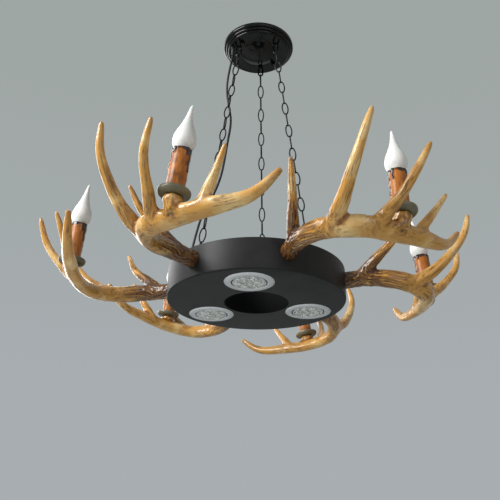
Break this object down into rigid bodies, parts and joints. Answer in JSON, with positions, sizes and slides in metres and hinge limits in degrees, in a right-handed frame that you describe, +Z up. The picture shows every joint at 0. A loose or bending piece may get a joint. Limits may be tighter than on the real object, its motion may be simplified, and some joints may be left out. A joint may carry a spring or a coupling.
{
  "type": "antler chandelier",
  "caption": "Chain-hung ceiling light: a ring-shaped drum with tilting downlight spots, ringed by branching antlers that each carry a candle lamp.",
  "frame": {"origin": "centre of the ceiling face of the mounting plate, on the lamp's vertical axis", "axes": "+Z up into the ceiling, +Y away from the viewer of the picture, +X to the right"},
  "size_m": [0.7828, 0.7787, 0.5953],
  "materials": {
    "zinc_steel": "zinc plated",
    "black_gloss": "gloss",
    "chain_black": "satin",
    "drum_black": "fine textured matt",
    "black_plastic": "matt",
    "cord_black": "matt",
    "satin_silver": "satin",
    "led_lens": "clear",
    "antler_resin": "semi-gloss cast resin, brown stain in the grain",
    "bulb_brass": "plain",
    "frosted_glass": "frosted",
    "pan_olive": "satin",
    "wax_brown": "wax look with dark drips",
    "holder_white": "plain"
  },
  "bodies": {
    "canopy": {"ceiling_plate": "zinc_steel", "canopy": "black_gloss", "canopy_cap_nuts": "black_gloss", "canopy_eyes": "black_gloss", "canopy_eye_nuts": "zinc_steel", "canopy_cord_grip": "black_plastic", "terminal_block": "black_plastic"},
    "chain_left": {"chain_left": "chain_black", "supply_cord": "cord_black"},
    "chain_right": {"chain_right": "chain_black"},
    "chain_far": {"chain_far": "chain_black"},
    "drum": {"drum_shell": "drum_black", "drum_lid": "drum_black", "lid_screws": "zinc_steel", "drum_eyes": "chain_black", "drum_eye_nuts": "zinc_steel", "drum_cord_gland": "black_plastic", "led_driver": "black_plastic", "spot_bezels": "satin_silver", "spot_clips": "zinc_steel", "antler_1": "antler_resin", "antler_2": "antler_resin", "antler_3": "antler_resin", "antler_4": "antler_resin", "antler_5": "antler_resin", "antler_6": "antler_resin", "antler_bolts": "zinc_steel", "antler_saddles": "zinc_steel", "candle_pans": "pan_olive", "candle_sleeves": "wax_brown", "candle_nipples": "zinc_steel", "lampholders": "holder_white"},
    "spot_1": {"spot_1_head": "satin_silver", "spot_1_lens": "led_lens"},
    "spot_2": {"spot_2_head": "satin_silver", "spot_2_lens": "led_lens"},
    "spot_3": {"spot_3_head": "satin_silver", "spot_3_lens": "led_lens"},
    "bulb_1": {"bulb_1_cap": "bulb_brass", "bulb_1_glass": "frosted_glass"},
    "bulb_2": {"bulb_2_cap": "bulb_brass", "bulb_2_glass": "frosted_glass"},
    "bulb_3": {"bulb_3_cap": "bulb_brass", "bulb_3_glass": "frosted_glass"},
    "bulb_4": {"bulb_4_cap": "bulb_brass", "bulb_4_glass": "frosted_glass"},
    "bulb_5": {"bulb_5_cap": "bulb_brass", "bulb_5_glass": "frosted_glass"},
    "bulb_6": {"bulb_6_cap": "bulb_brass", "bulb_6_glass": "frosted_glass"}
  },
  "joints": [
    {"name": "chain_left_sway", "type": "hinge", "parent": "canopy", "child": "chain_left", "pos_m": [-0.03984, -0.023, -0.03825], "axis": [1, 0, 0], "range_deg": [-5, 5]},
    {"name": "chain_right_sway", "type": "hinge", "parent": "canopy", "child": "chain_right", "pos_m": [0.03984, -0.023, -0.03825], "axis": [1, 0, 0], "range_deg": [-5, 5]},
    {"name": "chain_far_sway", "type": "hinge", "parent": "canopy", "child": "chain_far", "pos_m": [0, 0.046, -0.03825], "axis": [1, 0, 0], "range_deg": [-5, 5]},
    {"name": "drum_sway", "type": "hinge", "parent": "chain_left", "child": "drum", "pos_m": [-0.09743, -0.05625, -0.51675], "axis": [1, 0, 0], "range_deg": [-2.1, 2.1]},
    {"name": "spot_1_tilt", "type": "hinge", "parent": "drum", "child": "spot_1", "pos_m": [0, -0.1045, -0.5875], "axis": [0, 1, 0], "range_deg": [-20, 20]},
    {"name": "spot_2_tilt", "type": "hinge", "parent": "drum", "child": "spot_2", "pos_m": [0.0905, 0.05225, -0.5875], "axis": [0, 1, 0], "range_deg": [-20, 20]},
    {"name": "spot_3_tilt", "type": "hinge", "parent": "drum", "child": "spot_3", "pos_m": [-0.0905, 0.05225, -0.5875], "axis": [0, 1, 0], "range_deg": [-20, 20]},
    {"name": "bulb_1_out", "type": "slide", "parent": "drum", "child": "bulb_1", "axis": [0.1049, 0.025, 0.9942], "range_m": [0, 0.045]},
    {"name": "bulb_2_out", "type": "slide", "parent": "drum", "child": "bulb_2", "axis": [-0.0007, 0.0887, 0.9961], "range_m": [0, 0.045]},
    {"name": "bulb_3_out", "type": "slide", "parent": "drum", "child": "bulb_3", "axis": [-0.0756, 0.0611, 0.9953], "range_m": [0, 0.045]},
    {"name": "bulb_4_out", "type": "slide", "parent": "drum", "child": "bulb_4", "axis": [-0.1757, 0.0245, 0.9841], "range_m": [0, 0.045]},
    {"name": "bulb_5_out", "type": "slide", "parent": "drum", "child": "bulb_5", "axis": [0.1092, -0.0421, 0.9931], "range_m": [0, 0.045]},
    {"name": "bulb_6_out", "type": "slide", "parent": "drum", "child": "bulb_6", "axis": [0.0802, -0.0091, 0.9967], "range_m": [0, 0.045]}
  ],
  "couplings": [
    {"joint": "chain_right_sway", "follows": "chain_left_sway", "ratio": 1},
    {"joint": "chain_far_sway", "follows": "chain_left_sway", "ratio": 1},
    {"joint": "drum_sway", "follows": "chain_left_sway", "ratio": -0.40889}
  ]
}
